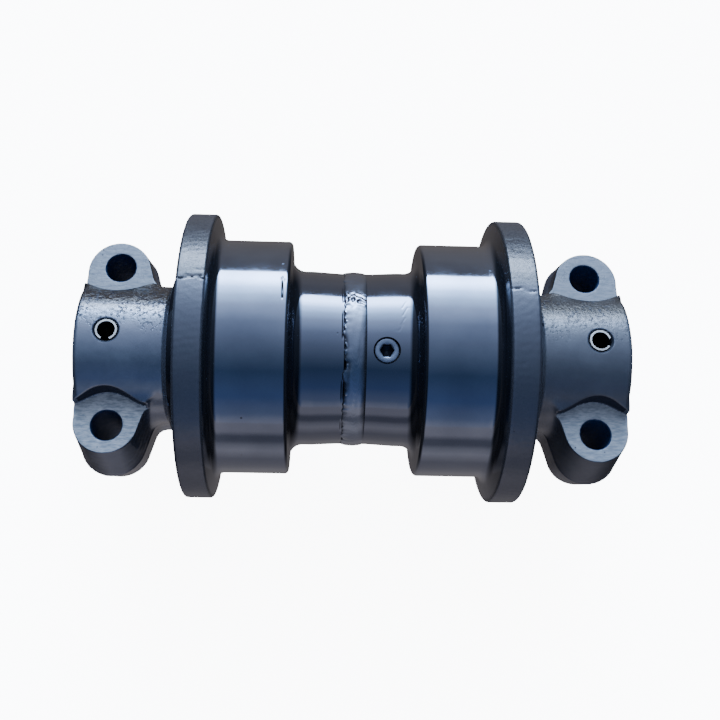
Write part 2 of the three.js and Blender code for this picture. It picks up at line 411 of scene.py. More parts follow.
def gloss(shader, roughness, metallic=0.94, coat=0.5):
    """Sets a metal-flake paint under a clear coat."""
    shader.inputs["Metallic"].default_value = metallic
    shader.inputs["Roughness"].default_value = roughness
    shader.inputs["Coat Weight"].default_value = coat
    shader.inputs["Coat Roughness"].default_value = 0.05
    shader.inputs["Coat IOR"].default_value = 1.5


def nicks(tree, where, cells, share, radius):
    """1 at small scattered spots, one in each of a share of the cells."""
    cell = node(tree, "ShaderNodeTexVoronoi", {"Vector": where, "Scale": cells})
    chosen = arithmetic(tree, "LESS_THAN", split(tree, cell.outputs["Color"])["X"], share)
    spot = remap(tree, cell.outputs["Distance"], radius * 0.5, radius, 1, 0)
    return arithmetic(tree, "MULTIPLY", chosen, spot)


def wormy_pits(tree, where, scale):
    """1 in small winding pits, which cover about a fifth of a surface."""
    return remap(tree, noise(tree, where, scale, 2, 0.6), 0.55, 0.59, 0, 1)


def shell_paint():
    """Thick gloss paint with orange peel over turned rings, duller on the rims' forged skin, with
    painted shade on the hub between the treads.
    """
    material, tree, shader = new_material("shell_gloss_paint")
    gloss(shader, 0.14)
    where = place(tree)
    axes = split(tree, where)
    rim = beyond(tree, length_of(tree, axes["Y"], axes["Z"]), (FLANGE_R - 2.2) * MM, 0.0012)
    patches = noise(tree, where, 28, 4)
    colour = blend(tree, remap(tree, patches, 0.35, 0.7, 0, 1), NAVY, DEEP)
    # painted shade: the hub's paint is darkened where it sits between the two treads
    hub_shade = remap(tree, length_of(tree, axes["Y"], axes["Z"]), 0.062, 0.066, 1, 0)
    colour = blend(tree, arithmetic(tree, "MULTIPLY", hub_shade, 0.7), colour, HUB_SHADE_BLUE)
    scaly = remap(tree, axes["Y"], 0.013, 0.022, 0.03, 0.8)
    rim_pits = arithmetic(tree, "MULTIPLY", wormy_pits(tree, where, 850), scaly)
    rim_colour = blend(tree, arithmetic(tree, "MULTIPLY", scaly, 0.8), RIM_BLUE, RIM_SCALE)
    colour = blend(tree, rim, colour, blend(tree, rim_pits, rim_colour, PIT_AND_SHADE_BLACK))
    tree.links.new(remap(tree, rim, 0, 1, 0.94, 0.55), shader.inputs["Metallic"])
    tree.links.new(remap(tree, rim, 0, 1, 0.5, 0.1), shader.inputs["Coat Weight"])
    spots = nicks(tree, where, 85, 0.14, 0.06)
    tree.links.new(blend(tree, spots, colour, PIT_AND_SHADE_BLACK), shader.inputs["Base Color"])
    dull = remap(tree, noise(tree, where, 90, 5, 0.6), 0.3, 0.75, 0.07, 0.15)
    rim_dull = arithmetic(tree, "MULTIPLY", rim, 0.22)
    tree.links.new(arithmetic(tree, "ADD", dull, rim_dull), shader.inputs["Roughness"])
    peel = bump(tree, noise(tree, where, 260, 2), 0.00005, 0.3)
    rings = node(
        tree,
        "ShaderNodeTexWave",
        {"Vector": where, "Scale": 260, "Distortion": 1.2, "Detail": 2.0, "Detail Scale": 2.0},
        bands_direction="X",
    ).outputs[0]
    turned = bump(tree, rings, 0.00001, 0.2, peel)
    nicked = bump(tree, arithmetic(tree, "SUBTRACT", 1.0, spots), 0.0002, 0.6, turned)
    rough_rim = arithmetic(tree, "MULTIPLY", rim, remap(tree, axes["Y"], -0.01, 0.05, 0.3, 1.0))
    forged = arithmetic(tree, "MULTIPLY", noise(tree, where, 380, 5, 0.62), rough_rim)
    tree.links.new(bump(tree, forged, 0.00045, 0.5, nicked), shader.inputs["Normal"])
    return material


def cast_paint(name, dullness, metallic, coat, worn):
    """Paint on sand-cast skin: duller on milled faces, pitted on the +Y side, none in the holes,
    whose bare metal carries painted shade.
    """
    material, tree, shader = new_material(name)
    gloss(shader, 0.3)
    coordinates = tree.nodes.new("ShaderNodeTexCoord")
    where = coordinates.outputs["Object"]
    axes = split(tree, where)
    facing = split(tree, coordinates.outputs["Normal"])["Z"]
    level = arithmetic(tree, "GREATER_THAN", arithmetic(tree, "ABSOLUTE", facing, 0), 0.86)
    tolerance = 0.0004
    masks = []
    for z in (SPOT_Z * MM, MOUNT_Z * MM):
        gap = arithmetic(tree, "ABSOLUTE", arithmetic(tree, "SUBTRACT", axes["Z"], float(z)), 0)
        masks.append(arithmetic(tree, "LESS_THAN", gap, tolerance))
    milled = arithmetic(tree, "MULTIPLY", arithmetic(tree, "ADD", masks[0], masks[1]), level)
    along = arithmetic(tree, "ABSOLUTE", axes["X"], 0)
    aside = arithmetic(tree, "ABSOLUTE", axes["Y"], 0)
    from_row = arithmetic(tree, "SUBTRACT", along, BOLT_X * MM)
    from_bolt = arithmetic(tree, "SUBTRACT", aside, BOLT_Y * MM)
    bolt_gap = length_of(tree, from_row, from_bolt)
    pin_gap = length_of(tree, from_row, axes["Y"])
    off_bolt = beyond(tree, bolt_gap, (BOLT_HOLE_R + 0.35) * MM, 0.0002)
    off_pin = beyond(tree, pin_gap, (PIN_HOLE_R + 1.3) * MM, 0.0002)
    painted = arithmetic(tree, "MULTIPLY", off_bolt, off_pin)
    patches = remap(tree, noise(tree, where, 45, 5, 0.6), 0.3, 0.7, 0, 1)
    skin_colour = blend(tree, patches, NAVY, DEEP)
    stretch = {"Vector": where, "Scale": (1, 4, 1)}
    streaks = node(tree, "ShaderNodeMapping", stretch).outputs["Vector"]
    thin = remap(tree, noise(tree, streaks, 190, 4, 0.65), 0.36, 0.62, 0, 1)
    milled_colour = blend(tree, thin, GREY_BLUE, DULL_BLUE)
    spots = nicks(tree, where, 210, 0.2, 0.16)
    milled_colour = blend(tree, spots, milled_colour, PIT_AND_SHADE_BLACK)
    # the barrel's top on the +Y side, under the ears: sandy crust, darkened further as painted shade
    crust_and_shade_side = remap(tree, axes["Y"], 0.012, 0.023, 0, 1)
    crust_and_shade_top = remap(tree, axes["Z"], 0.004, 0.016, 0, 1)
    crust_and_shade = remap(tree, arithmetic(tree, "MULTIPLY", crust_and_shade_side, crust_and_shade_top), 0, 1, worn, 0.95)
    skin_colour = blend(tree, crust_and_shade, skin_colour, CRUST_AND_SHADE_GREY)
    pitted = remap(tree, axes["Y"], -0.004, 0.01, 0, 1)
    in_patches = remap(tree, noise(tree, where, 55, 2), 0.4, 0.55, 0.1, 1)
    pitted = arithmetic(tree, "MULTIPLY", pitted, in_patches)
    pits = arithmetic(tree, "MULTIPLY", wormy_pits(tree, where, 460), pitted)
    skin_colour = blend(tree, pits, skin_colour, PIT_AND_SHADE_BLACK)
    # painted shade on the walls that rise from the bolt spot faces
    low_wall = beyond(tree, axes["Z"], (SPOT_Z + 0.4) * MM)
    for mask in (
        arithmetic(tree, "LESS_THAN", facing, 0.35),
        beyond(tree, along, (BOLT_X - 25) * MM),
        arithmetic(tree, "LESS_THAN", along, (BARREL_END - 1.5) * MM),
    ):
        low_wall = arithmetic(tree, "MULTIPLY", low_wall, mask)
    skin_colour = blend(tree, low_wall, skin_colour, WALL_SHADE)
    # painted shade on the ears of the +Y side; the worn collar's ears are duller all over
    dull_and_upper_ear_shade = remap(tree, axes["Y"], 0, 0.04, 0.7 * worn, 0.45 + 0.35 * worn)
    milled_colour = blend(tree, dull_and_upper_ear_shade, milled_colour, DULL_BLUE)
    colour = blend(tree, milled, skin_colour, milled_colour)
    tree.links.new(remap(tree, milled, 0, 1, metallic, 0.2), shader.inputs["Metallic"])
    # painted shade down the bolt bores and in the pin's seat, over their bare drilled metal
    hole_shade_colour = blend(tree, off_pin, PIT_AND_SHADE_BLACK, HOLE_SHADE_BLUE)
    tree.links.new(blend(tree, painted, hole_shade_colour, colour), shader.inputs["Base Color"])
    skin_rough = remap(tree, noise(tree, where, 130, 5, 0.6), 0.3, 0.7, dullness, dullness + 0.14)
    bare = arithmetic(tree, "SUBTRACT", 1.0, painted)
    rough = skin_rough
    for mask, more in ((milled, 0.54 - dullness), (bare, 0.4), (low_wall, 0.5)):
        rough = arithmetic(tree, "ADD", rough, arithmetic(tree, "MULTIPLY", mask, more))
    tree.links.new(rough, shader.inputs["Roughness"])
    grain = bump(tree, noise(tree, where, 420, 4, 0.6), 0.00015, 0.2)
    tool_marks = arithmetic(tree, "MULTIPLY", noise(tree, streaks, 420, 3, 0.6), milled)
    milling = bump(tree, tool_marks, 0.0001, 0.5, grain)
    skin_only = arithmetic(tree, "SUBTRACT", 1.0, milled)
    coat_left = remap(tree, axes["Y"], 0.01, 0.022, coat, 0.3 * coat)
    coated = arithmetic(tree, "MULTIPLY", coat_left, skin_only)
    for dull in (pits, low_wall):
        coated = arithmetic(tree, "MULTIPLY", coated, arithmetic(tree, "SUBTRACT", 1.0, dull))
    tree.links.new(arithmetic(tree, "MULTIPLY", painted, coated), shader.inputs["Coat Weight"])
    sandy_side = remap(tree, axes["Y"], 0.0, 0.024, 0.0, 1.0)
    sandy = arithmetic(tree, "MULTIPLY", sandy_side, skin_only)
    crust = arithmetic(tree, "MULTIPLY", noise(tree, where, 430, 3, 0.6), sandy)
    crust = arithmetic(tree, "SUBTRACT", crust, arithmetic(tree, "MULTIPLY", pits, 0.25))
    tree.links.new(bump(tree, crust, 0.0013, 0.5, milling), shader.inputs["Normal"])
    return material


def weld_paint():
    """The gloss paint over the weld, a little lighter and rougher."""
    material, tree, shader = new_material("weld_gloss_paint")
    gloss(shader, 0.24)
    where = place(tree)
    patches = remap(tree, noise(tree, where, 60, 3), 0.3, 0.7, 0, 1)
    tree.links.new(blend(tree, patches, WELD_BLUE, NAVY), shader.inputs["Base Color"])
    spread = remap(tree, noise(tree, where, 220, 3), 0.3, 0.7, 0.14, 0.22)
    tree.links.new(spread, shader.inputs["Roughness"])
    tree.links.new(bump(tree, noise(tree, where, 700, 3), 0.0001, 0.3), shader.inputs["Normal"])
    return material


def turned_metal(name, colour, roughness, ring_scale, direction="X", metallic=1.0):
    """Bare metal with fine tool rings and faint stains."""
    material, tree, shader = new_material(name)
    shader.inputs["Metallic"].default_value = metallic
    where = place(tree)
    darker = tuple(channel * 0.6 for channel in colour[:3]) + (1,)
    stains = remap(tree, noise(tree, where, 70, 5, 0.6), 0.35, 0.7, 0, 1)
    tree.links.new(blend(tree, stains, colour, darker), shader.inputs["Base Color"])
    spread = remap(tree, noise(tree, where, 200, 4), 0.3, 0.7, roughness, roughness + 0.15)
    tree.links.new(spread, shader.inputs["Roughness"])
    rings = node(
        tree,
        "ShaderNodeTexWave",
        {"Vector": where, "Scale": ring_scale, "Distortion": 0.8, "Detail": 2.0},
        bands_direction=direction,
    ).outputs[0]
    tree.links.new(bump(tree, rings, 0.00003, 0.5), shader.inputs["Normal"])
    return material


def plug_metal():
    """Painted-over steel, with painted shade where the wrench socket goes down."""
    material = turned_metal("plug_steel", PLUG_BLUE, 0.28, 400, "Z", 0.7)
    tree = material.node_tree
    shader = tree.nodes["Principled BSDF"]
    axes = split(tree, place(tree))
    # painted shade down the socket, below the plug's top face
    clear_of_socket_shade = beyond(tree, length_of(tree, axes["Y"], axes["Z"]), (PLUG_TOP - 1.5) * MM, 0.0003)
    painted = shader.inputs["Base Color"].links[0].from_socket
    tree.links.new(blend(tree, clear_of_socket_shade, PIT_AND_SHADE_BLACK, painted), shader.inputs["Base Color"])
    return material


def spring_steel():
    """Bright ground end faces on a dark rolled tube."""
    material = turned_metal("spring_pin_steel", (0.48, 0.5, 0.55, 1), 0.42, 300, "Z", 0.8)
    tree = material.node_tree
    shader = tree.nodes["Principled BSDF"]
    height = arithmetic(tree, "ABSOLUTE", split(tree, place(tree))["Z"], 0)
    face = beyond(tree, height, (PIN_END - 0.3) * MM, 0.00015)
    ground = shader.inputs["Base Color"].links[0].from_socket
    tree.links.new(blend(tree, face, PIT_AND_SHADE_BLACK, ground), shader.inputs["Base Color"])
    return material


def seal_rubber():
    """Black rubber with a faint bloom."""
    material, tree, shader = new_material("black_seal_rubber")
    where = place(tree)
    bloom = remap(tree, noise(tree, where, 150, 4), 0.4, 0.8, 0, 1)
    tree.links.new(blend(tree, bloom, RUBBER_BLACK, RUBBER_BLOOM), shader.inputs["Base Color"])
    shader.inputs["Roughness"].default_value = 0.65
    tree.links.new(bump(tree, noise(tree, where, 900, 3), 0.00005, 0.5), shader.inputs["Normal"])
    return material


paint = shell_paint()
casting = {
    "right": cast_paint("dull_cast_paint", dullness=0.28, metallic=0.4, coat=0.15, worn=0.45),
    "left": cast_paint("cast_gloss_paint", dullness=0.08, metallic=0.6, coat=0.5, worn=0.0),
}
weld_coat = weld_paint()
shaft_steel = turned_metal("ground_shaft_steel", (0.42, 0.43, 0.45, 1), 0.22, 500)
pin_steel = spring_steel()
plug_steel = plug_metal()
bronze = turned_metal("bush_bronze", (0.6, 0.4, 0.2, 1), 0.3, 400)
lapped_iron = turned_metal("lapped_seal_iron", (0.32, 0.32, 0.33, 1), 0.2, 700)
rubber = seal_rubber()


# ---- Roller shell ----
def shell_outline():
    """The [x, r, round] corners of the right half, outside first and back along its bores."""
    return [
        (0.2, 44, 0),
        (7.2, HUB_R_AT_WELD, 0),
        *((x / 10, HUB_R_AT_WELD + 0.003 * (x - 72), 0) for x in range(75, 100, 3)),
        *((x / 10, HUB_R, 0) for x in range(270, 330, 4)),
        (41, HUB_R + 0.1, 8.5),
        (41.6, TREAD_R, 2.6),
        *((x / 10, TREAD_R, 0) for x in range(446, 486, 3)),
        (88.6, TREAD_R, 5.6),
        (91.4, FLANGE_R, 1.5),
        (109, FLANGE_R, 1.9),
        (109, BOSS_R + 0.5, 1.5),
        (BOSS_OUT, BOSS_END_R, 0.7),
        (BOSS_OUT, 52.5, 0.4),
        (105.5, 52.5, 0),
        (105.5, 46, 0),
        (96, 46, 0),
        (96, 43.5, 0),
        (90.2, 43.5, 0),
        (90.2, 37, 0),
        (28, 37, 0),
        (28, 42, 0),
        (0.2, 42, 0),
    ]


RIM_CRACKS = [
    # side (+1 right), degrees from +Z towards +Y, depth, half width, share of the rim crossed
    (-1, 9.8, 0.9, 0.42, 1.0),
    (-1, 13.5, 0.35, 0.35, 0.35),
    (-1, 96, 0.6, 0.45, 0.8),
    (-1, 201, 0.7, 0.4, 1.0),
    (1, 8.2, 0.8, 0.4, 0.9),
    (1, 34, 0.5, 0.35, 0.9),
    (1, 150, 0.6, 0.45, 1.0),
    (1, 262, 0.6, 0.4, 0.7),
]
PAINT_MARKS = [
    # side, place along X, degrees from +Z towards +Y, length, lean along X, half width, depth
    (-1, 46, 13, 13, 0.4, 0.42, 0.42),
    (-1, 46.4, 19.6, 1.2, -0.9, 0.5, 0.42),
    (-1, 44.8, 18.2, 0.5, 0.3, 0.45, 0.35),
    (1, 30.5, 17, 5, 2.6, 0.45, 0.12),
    (1, 31, 12, 6, 3.0, 0.45, 0.12),
    (1, 29.6, 5, 5, 2.8, 0.45, 0.1),
    (1, 28.4, 1, 4.5, 2.4, 0.45, 0.08),
]
UNDERCUT = {"x": 7.9, "half": 0.6, "depth": 0.28}


def paint_mark(x, angle, radius, at_x, at_angle, length, lean, half, depth):
    """How deep a short scratch or run in the paint is at each point."""
    round_way = (np.mod(angle - at_angle + 180, 360) - 180) * math.radians(1) * radius
    share = np.clip(round_way / length, -0.5, 0.5)
    gap = (x - at_x - share * lean) ** 2 + (round_way - share * length) ** 2
    return depth * np.exp(-gap / half**2)


def crack(points, angle, where, depth, width, share):
    """How deep a jagged forging crack that runs across the rim goes at each point."""
    along = points * np.array([1, 0, 0])
    wander = 0.8 * waves(along, 9, 41 + int(where)) + 0.45 * waves(along, 2.8, 42 + int(where))
    off = (np.mod(angle - where + 180, 360) - 180) * math.radians(1) * FLANGE_R - wander
    ends = np.clip((91.5 + 17 * share - points[:, 0]) / 1.5, 0, 1)
    return depth * ends * np.exp(-((off / width) ** 2))


def shell_half(side):
    """The turned shell with faint waves, paint marks, a cracked rim and an undercut on the left."""
    profile = dense(rounded(shell_outline()), step=2.0, over=BOSS_END_R + 1)
    points, faces = skin(revolve(profile, SHELL_SEGMENTS), wrap=True)
    x, y, z = points.T
    radius = np.hypot(y, z)
    spoke = points * np.array([0, 1, 1]) / radius[:, None]
    hollow = 0.012 * waves(points, 60, 11 + side) - 0.04
    rim = np.clip((radius - 88) / 4, 0, 1)
    forged = 0.02 * waves(points, 13, 31 + side) + 0.025 * waves(points, 4, 33 + side)
    hollow += rim * (forged - 0.03)
    angle = np.degrees(np.arctan2(y * side, z))
    for crack_side, *shape in RIM_CRACKS:
        if crack_side == side:
            hollow -= rim * crack(points, angle, *shape)
    for mark_side, *shape in PAINT_MARKS:
        if mark_side == side:
            hollow -= paint_mark(x, angle, radius, *shape)
    # the bores, the edge beside the weld and the boss's end stay true
    outside = (radius > 55) & (x > 9) & (x < 117)
    moved = np.minimum(hollow, 0.0) * outside
    if side < 0:
        groove = np.exp(-(((x - UNDERCUT["x"]) / UNDERCUT["half"]) ** 2)) * (radius > 56)
        moved -= UNDERCUT["depth"] * groove * np.clip(0.5 + waves(points, 21, 71), 0, 1.3)
    return points + spoke * moved[:, None], faces


def plug_hole(side_r, tilt):
    """The counterbored plug hole, as a cutter."""
    levels = [(side_r, 38), (side_r, PLUG_TOP + 0.9), (side_r + 0.35, 75)]
    points, faces = skin([circle(r, z) for r, z in levels])
    return turned_out(points, tilt), faces


def turned_out(points, tilt):
    """Points made about Z, moved to the plug's axis."""
    lean = Matrix.Rotation(math.radians(tilt), 3, "X")
    return points @ np.array(lean).T + np.array([PLUG_X, 0, 0])


for side, label in ((1, "right"), (-1, "left")):
    points, faces = shell_half(side)
    if side < 0:
        points = half_turn(points)
    shell = piece(f"{label}_shell_half", points, faces, paint)
    if side > 0:
        hole = piece("plug_hole_cutter", *plug_hole(8.5, PLUG_TILT), paint)
        cut(shell, hole)
    stand_for(shell, f"shell_half_{label}", "roller")


# ---- Weld ----
SPATTER = 46
RESTART = math.radians(20.5)


def spatter(turn, x, left):
    """Small beads thrown along the left toe of the weld."""
    rng = np.random.default_rng(58)
    height = np.zeros(x.shape)
    for _ in range(SPATTER):
        near = rng.random() < 0.6
        at = rng.normal(RESTART - 0.45, 0.55) if near else rng.uniform(0, 2 * math.pi)
        size = rng.uniform(0.35, 0.8)
        inset = rng.uniform(0.2, 1.3)
        round_gap = (np.mod(turn - at + math.pi, 2 * math.pi) - math.pi) * WELD_R
        gap = (round_gap[:, None] ** 2 + (x - left[:, None] - inset) ** 2) / size**2
        height += 0.75 * size * np.exp(-gap)
    return height


def weld_bead():
    """One smooth pass of weld: faint ripples, a ragged left toe and a lump at its restart."""
    segments, across = 720, 49
    turn = np.arange(segments) * 2 * math.pi / segments
    toe = np.stack([np.zeros(segments), 50 * np.sin(turn), 50 * np.cos(turn)], 1)
    left = -7.3 + 0.4 * waves(toe, 9, 51) + 0.3 * waves(toe, 3.5, 52)
    right = 7.4 + 0.1 * waves(toe, 14, 53)
    s = np.linspace(0, 1, across)
    x = left[:, None] * (1 - s) + right[:, None] * s
    arch = np.sin(math.pi * s)
    crown = HUB_R_AT_WELD - 0.35 + 1.5 * arch**0.5
    bow = turn[:, None] * WELD_R + 24 * arch**1.3
    drift = 1.2 * waves(toe, 17, 54)[:, None]
    showing = np.clip(0.5 + 0.6 * waves(toe, 40, 56), 0, 1)[:, None]
    ripple = 0.022 * showing * np.sin(2 * math.pi * (bow + drift) / 3.6) * arch**0.7
    sideways = WELD_R * np.sin(turn)[:, None] + 0 * x
    upwards = WELD_R * np.cos(turn)[:, None] + 0 * x
    lumps = np.stack([x, sideways, upwards], -1).reshape(-1, 3)
    long_lumps = lumps * np.array([1.6, 0.45, 0.45])
    swell = 0.035 * waves(long_lumps, 7, 55).reshape(x.shape) * arch
    restart = np.exp(-((((turn - RESTART) * WELD_R) / 4.5) ** 2))[:, None]
    ragged = 0.28 * restart * waves(lumps, 3.4, 57).reshape(x.shape) * arch**0.4
    r = crown + ripple + swell + ragged + spatter(turn, x, left) * arch**0.15
    r = np.minimum(r, weld_high[2])
    floor_r = 45.1
    floor_x = np.broadcast_to([0.3, -0.3], (segments, 2))
    x = np.concatenate([x, floor_x], 1)
    r = np.concatenate([r, np.full((segments, 2), floor_r)], 1)
    rings = np.stack([x, np.sin(turn)[:, None] * r, np.cos(turn)[:, None] * r], -1)
    return skin(rings, wrap=True)


bead = piece("rippled_weld_bead", *weld_bead(), weld_coat, sharp=60)
stand_for(bead, "weld_bead", "roller")


# ---- Oil plug ----
def hexagon(flats, z, segments=96):
    """A hexagon of that width across its flats, with as many points as a circle has."""
    turn = np.arange(segments) * 2 * math.pi / segments
    sector = np.mod(turn, math.pi / 3) - math.pi / 6
    radius = flats / 2 / np.cos(sector)
    return np.stack([radius * np.cos(turn), radius * np.sin(turn), np.full(segments, z)], 1)


def oil_plug():
    """The round plug from its foot up, and back down into its hexagon socket."""
    top, n = PLUG_TOP, 96
    rings = [
        circle(7.4, 45.2, n),
        circle(7.7, 46, n),
        circle(7.8, top - 2.2, n),
        circle(7.7, top - 1, n),
        circle(7.35, top - 0.45, n),
        circle(6.8, top - 0.3, n),
        circle(4.9, top - 0.3, n),
        circle(4.6, top - 0.4, n),
        hexagon(8, top - 0.75, n),
        hexagon(7.7, top - 1.1, n),
        hexagon(7.7, top - 7, n),
        circle(1, top - 8.6, n),
    ]
    return skin(rings)


points, faces = oil_plug()
plug = piece("hex_socket_plug", turned_out(points, PLUG_TILT), faces, plug_steel)
stand_for(plug, "oil_plug", "roller")


# ---- Shaft ----
def shaft_body():
    """The ground shaft with its chamfers, O-ring grooves and centre drillings."""
    right = [
        (127.5, SHAFT_R),
        (128, SHAFT_R - 0.4),
        (128, O_RING_GROOVE_R),
        (132, O_RING_GROOVE_R),
        (132, SHAFT_R - 0.4),
        (132.5, SHAFT_R),
        (SHAFT_END - 2, SHAFT_R),
        (SHAFT_END - 1.6, SHAFT_R - 0.3),
        (SHAFT_END, SHAFT_R - 2),
        (SHAFT_END, 5.2),
        (SHAFT_END - 0.4, 4.8),
        (SHAFT_END - 4, 2.2),
        (SHAFT_END - 8, 2),
    ]
    levels = [(-x, r) for x, r in reversed(right)] + right
    rings = []
    for x, r in levels:
        ring = circle(r, x, 160)
        rings.append(ring[:, [2, 0, 1]])
    return skin(rings)


def pin_bore(x):
    """The cross bore for a spring pin, as a cutter."""
    points, faces = skin([circle(PIN_HOLE_R, -60), circle(PIN_HOLE_R, 60)])
    return piece("pin_bore_cutter", points + np.array([x, 0, 0]), faces, shaft_steel)


shaft = piece("fixed_shaft", *shaft_body(), shaft_steel)
cut(shaft, pin_bore(BOLT_X), pin_bore(-BOLT_X))
stand_for(shaft, "shaft", "axle")


# ---- Collars ----
LUG_Z = np.array([MOUNT_Z, -15, SPOT_Z])
LUG_HALF = np.array([19.6, 21.4, 21])
LUG_TIPS = np.array([74, LUG_TIP - 0.4, 73.4])


def lug_bar(p):
    """The bar of the two bolt lugs, flared inboard and widest at its parting line's ridge."""
    x, y, z = p.T
    flash = 0.3 * np.exp(-(((z - LUG_Z[1]) / 0.7) ** 2))
    half = np.interp(z, LUG_Z, LUG_HALF) + flash
    centre_y = np.interp(z, LUG_Z, LUG_TIPS) + flash - half
    across = x - BOLT_X - LUG_OUTSET
    past = np.abs(y) - centre_y
    outboard = np.hypot(across, np.maximum(past, 0))
    past = np.maximum(past, LUG_ROOT_Y - centre_y)
    off_flank = past * math.sin(LUG_FLARE) - across * math.cos(LUG_FLARE)
    along_flank = past * math.cos(LUG_FLARE) + across * math.sin(LUG_FLARE)
    inboard = np.where(along_flank > 0, np.hypot(off_flank, along_flank), off_flank)
    side = np.where(across > 0, outboard, inboard) - half
    return soft_max(side, z - SPOT_Z - 6, 3)


def saddle(p):
    """The foot under the barrel, down to the mounting face."""
    x, y, z = p.T
    width = 40 - np.clip((z + 8) / 30, 0, 1) * 6
    ends = np.maximum(BARREL_START + 0.5 - x, x - BARREL_END)
    return soft_max(soft_max(np.abs(y) - width, ends, 5), z + 6, 4)


def cast_skin(p):
    """The collar as cast: the tapered barrel, its foot and the lugs, blended into each other."""
    x, y, z = p.T
    from_shaft = np.hypot(y, z)
    barrel = bar(from_shaft, x, 46 + (x - BARREL_START) / 57, 112, BARREL_END, 2.4)
    body = soft_min(barrel, saddle(p), 6)
    body = soft_min(body, lug_bar(p), 6.5)
    body = soft_max(body, x - collar_high[0] + 0.15, 0.6)
    return soft_max(body, BARREL_START - x, 2)


def machined(p, body):
    """The casting with its turned nose, and with its bores, seats and machined faces cut."""
    x, y, z = p.T
    edge = 0.6
    from_shaft = np.hypot(y, z)
    slope = 1.8 * np.clip(x - NOSE_SHOULDER, 0, 5)
    nose = bar(from_shaft, x, NOSE_R - slope, 108.6, INSIDE_BARREL, 0.4)
    snout = bar(from_shaft, x, SNOUT_R, COLLAR_IN, INSIDE_BARREL, 0.4)
    groove = np.maximum(SNOUT_R - from_shaft, from_shaft - SEAL_SEAT_R)
    seat = np.maximum(groove, x - SEAL_SEAT_END)
    body = soft_min(body, nose, 2.2)
    body = np.maximum(body, -seat)
    body = np.minimum(body, snout)
    bore = from_shaft - BORE_R - np.clip(x - BARREL_END + 1.5, 0, 4)
    body = soft_max(body, -bore, edge)
    body = soft_max(body, MOUNT_Z - z, edge)
    for row in (-BOLT_Y, BOLT_Y):
        from_bolt = np.hypot(x - BOLT_X, y - row)
        run_out = np.maximum(RUN_OUT_Y - np.sign(row) * y, np.abs(x - BOLT_X) - RUN_OUT_HALF)
        spot = soft_max(soft_min(from_bolt - SPOT_R, run_out, 9), SPOT_Z - z, 0.8)
        body = soft_max(body, -spot, edge)
        lip = np.clip(z - SPOT_Z + 0.4, 0, 3) + np.clip(MOUNT_Z + 0.6 - z, 0, 3)
        body = soft_max(body, -(from_bolt - BOLT_HOLE_R - lip), edge)
    from_pin = np.hypot(x - BOLT_X, y)
    countersink = 0.5 * np.clip(np.abs(z) - PIN_SEAT_Z, 0, 2)
    return soft_max(body, -(from_pin - PIN_HOLE_R - countersink), 0.25)


def collar_distance(p):
    return machined(p, cast_skin(p))


def sand_cast(points):
    """Gives the cast skin soft waves, and sandy bumps on its +Y side. Machined faces stay true."""
    slope, _ = slope_of(collar_distance, points)
    slope /= np.linalg.norm(slope, axis=1, keepdims=True)
    on_skin = np.clip(1.4 - np.abs(cast_skin(points)) / 0.25, 0, 1)
    sandy = np.clip((points[:, 1] - 2) / 22, 0, 1)
    height = 0.05 * waves(points, 24, 61) + (0.008 + 0.01 * sandy) * waves(points, 6, 62) - 0.05
    return points + slope * (on_skin * np.minimum(height, 0.02))[:, None]


collar_points, collar_faces = surface_net(
    collar_distance,
    low=(COLLAR_IN - 2.3, -LUG_TIP - 2.1, MOUNT_Z - 2.2),
    high=(BARREL_END + 5, LUG_TIP + 2.1, 54),
    cell=0.85,
)
collar_points = sand_cast(collar_points)
for label, turn in (("right", lambda p: p), ("left", half_turn)):
    points = turn(collar_points)
    collar = piece(f"cast_{label}_collar", points, collar_faces, casting[label], sharp=50)
    stand_for(collar, f"collar_{label}", "axle")


# ---- Spring pins ----
def spring_pin(slot_angle):
    """A rolled spring-steel tube with an open slot and chamfered ends."""
    half_slot, arc_steps = 25, 60
    top = PIN_END + 0.6
    levels = [
        (-PIN_END, 6.7, 5.8),
        (-PIN_END + 0.5, 7, 5.65),
        (top - 0.5, 7, 5.65),
        (top - 0.12, 6.97, 5.68),
        (top, 6.85, 5.75),
    ]
    turn = np.radians(np.linspace(slot_angle + half_slot, slot_angle + 360 - half_slot, arc_steps))
    rings = []
    for z, outer, inner in levels:
        radii = np.concatenate([np.full(arc_steps, outer), np.full(arc_steps, inner)])
        turns = np.concatenate([turn, turn[::-1]])
        height = np.full(2 * arc_steps, z)
        rings.append(np.stack([radii * np.cos(turns), radii * np.sin(turns), height], 1))
    return skin(rings)


for label, x, slot_angle in (("right", BOLT_X, -10), ("left", -BOLT_X, -92)):
    points, faces = spring_pin(slot_angle)
    pin = piece(f"slotted_{label}_pin", points + np.array([x, 0, 0]), faces, pin_steel)
    stand_for(pin, f"spring_pin_{label}", "axle")


# ---- The CAD pieces that stay: the hidden bushes and seals ----
INNER = {"bush": bronze, "seal_ring": lapped_iron, "toric_ring": rubber, "o_ring": rubber}
for name, cad_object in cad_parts.items():
    for part, material in INNER.items():
        if part in name:
            cad_object.data.materials.clear()
            cad_object.data.materials.append(material)


